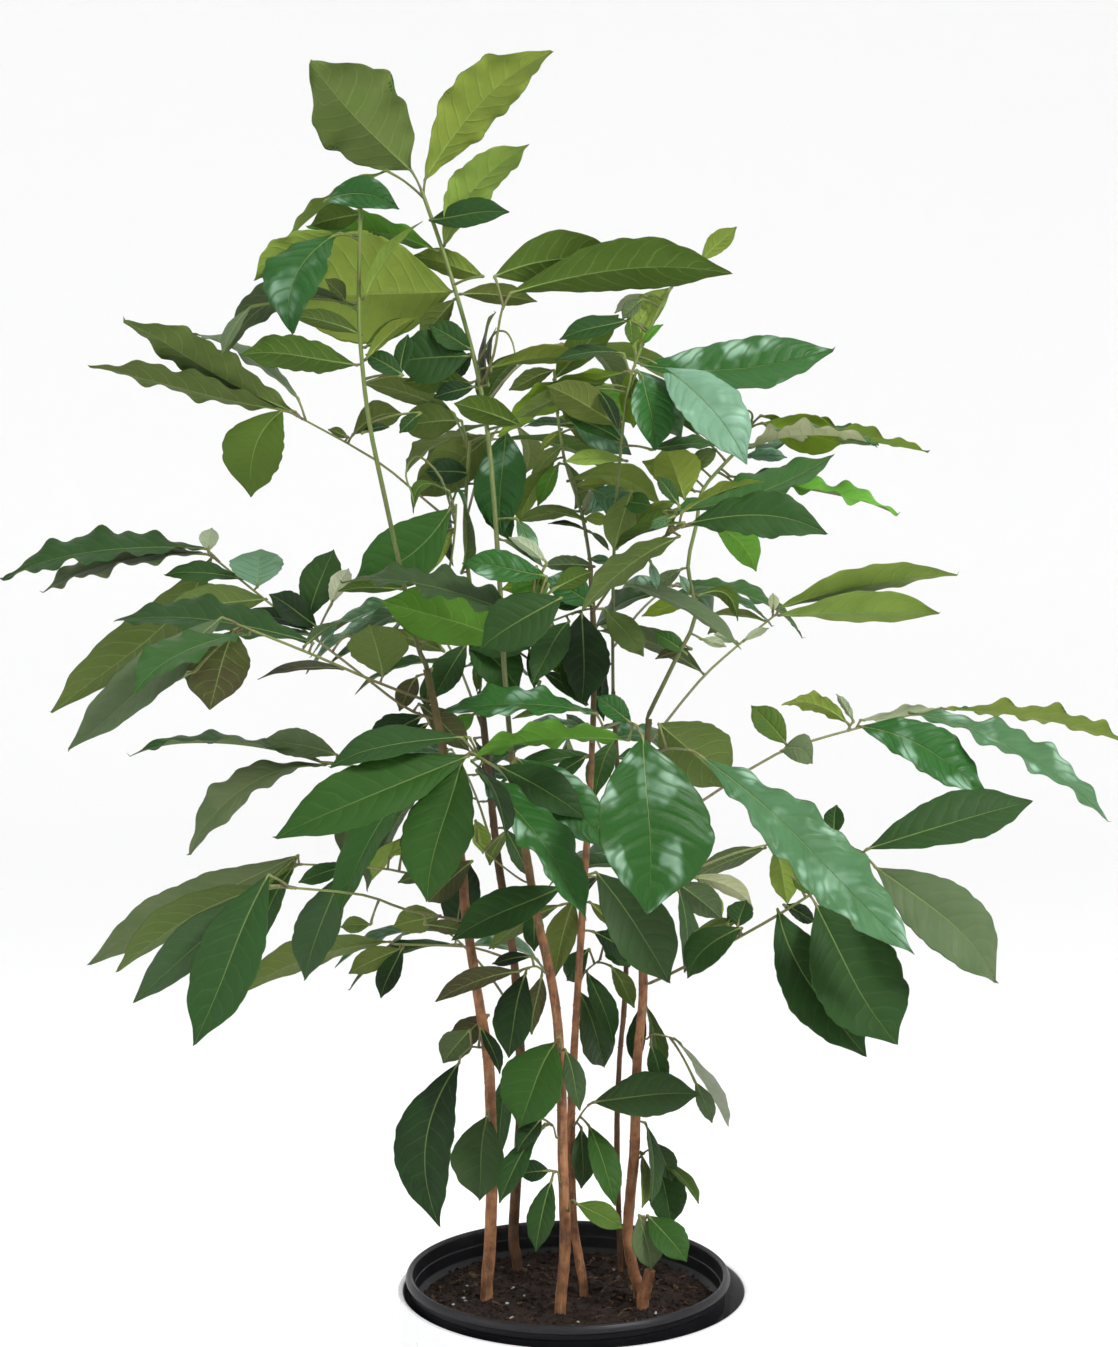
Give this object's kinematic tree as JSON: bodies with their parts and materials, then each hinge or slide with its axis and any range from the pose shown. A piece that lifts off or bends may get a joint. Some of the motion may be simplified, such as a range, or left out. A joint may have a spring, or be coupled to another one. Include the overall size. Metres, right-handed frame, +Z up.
{
  "type": "potted natal mahogany",
  "caption": "Bushy indoor tree with wavy glossy leaflets on thin upright trunks, growing in a black nursery pot that stands in a plain white cylindrical cachepot.",
  "frame": {"origin": "centre of the cachepot's underside, where the plant stands on a floor or a table", "axes": "+Z up along the cachepot's axis, -Y towards the side that the picture shows, +X to the right as seen from there"},
  "size_m": [0.9601, 0.6343, 1.2183],
  "materials": {
    "white_glaze": "satin",
    "black_plastic": "satin",
    "peat": "matte",
    "bark": "matte",
    "young_green": "satin",
    "leaf_green": "gloss"
  },
  "bodies": {
    "root": {"cachepot": "white_glaze", "nursery_pot": "black_plastic", "shoot_back": "young_green", "shoot_bright": "young_green", "shoot_fork": "young_green", "shoot_left": "young_green", "shoot_middle": "young_green", "shoot_right": "young_green", "shoot_top": "young_green", "soil": "peat", "spray_centre": "leaf_green", "spray_centre_low": "leaf_green", "spray_far_1": "leaf_green", "spray_far_2": "leaf_green", "spray_far_3": "leaf_green", "spray_far_4": "leaf_green", "spray_far_5": "leaf_green", "spray_far_6": "leaf_green", "spray_far_7": "leaf_green", "spray_far_8": "leaf_green", "spray_far_9": "leaf_green", "spray_front": "leaf_green", "spray_front_left": "leaf_green", "spray_front_right": "leaf_green", "spray_high_right": "leaf_green", "spray_inner_right": "leaf_green", "spray_low_left": "leaf_green", "spray_low_left_front": "leaf_green", "spray_low_right": "leaf_green", "spray_lowest_left": "leaf_green", "spray_mid_left": "leaf_green", "spray_mid_left_front": "leaf_green", "spray_mid_right": "leaf_green", "spray_narrow_left": "leaf_green", "spray_top_left": "leaf_green", "spray_top_right": "leaf_green", "spray_upper_right": "leaf_green", "sprig_back_middle": "leaf_green", "sprig_crossing": "leaf_green", "sprig_front": "leaf_green", "sprig_front_foot": "leaf_green", "sprig_front_high": "leaf_green", "sprig_front_low": "leaf_green", "sprig_front_right": "leaf_green", "sprig_left": "leaf_green", "sprig_left_low": "leaf_green", "sprig_middle": "leaf_green", "sprig_middle_low": "leaf_green", "sprig_right": "leaf_green", "sprig_right_low": "leaf_green", "sprig_stump": "leaf_green", "trunk_back_left": "bark", "trunk_back_right": "bark", "trunk_front": "bark", "trunk_left": "bark", "trunk_middle": "bark", "trunk_right": "bark", "trunk_stump": "bark"}
  },
  "joints": []
}
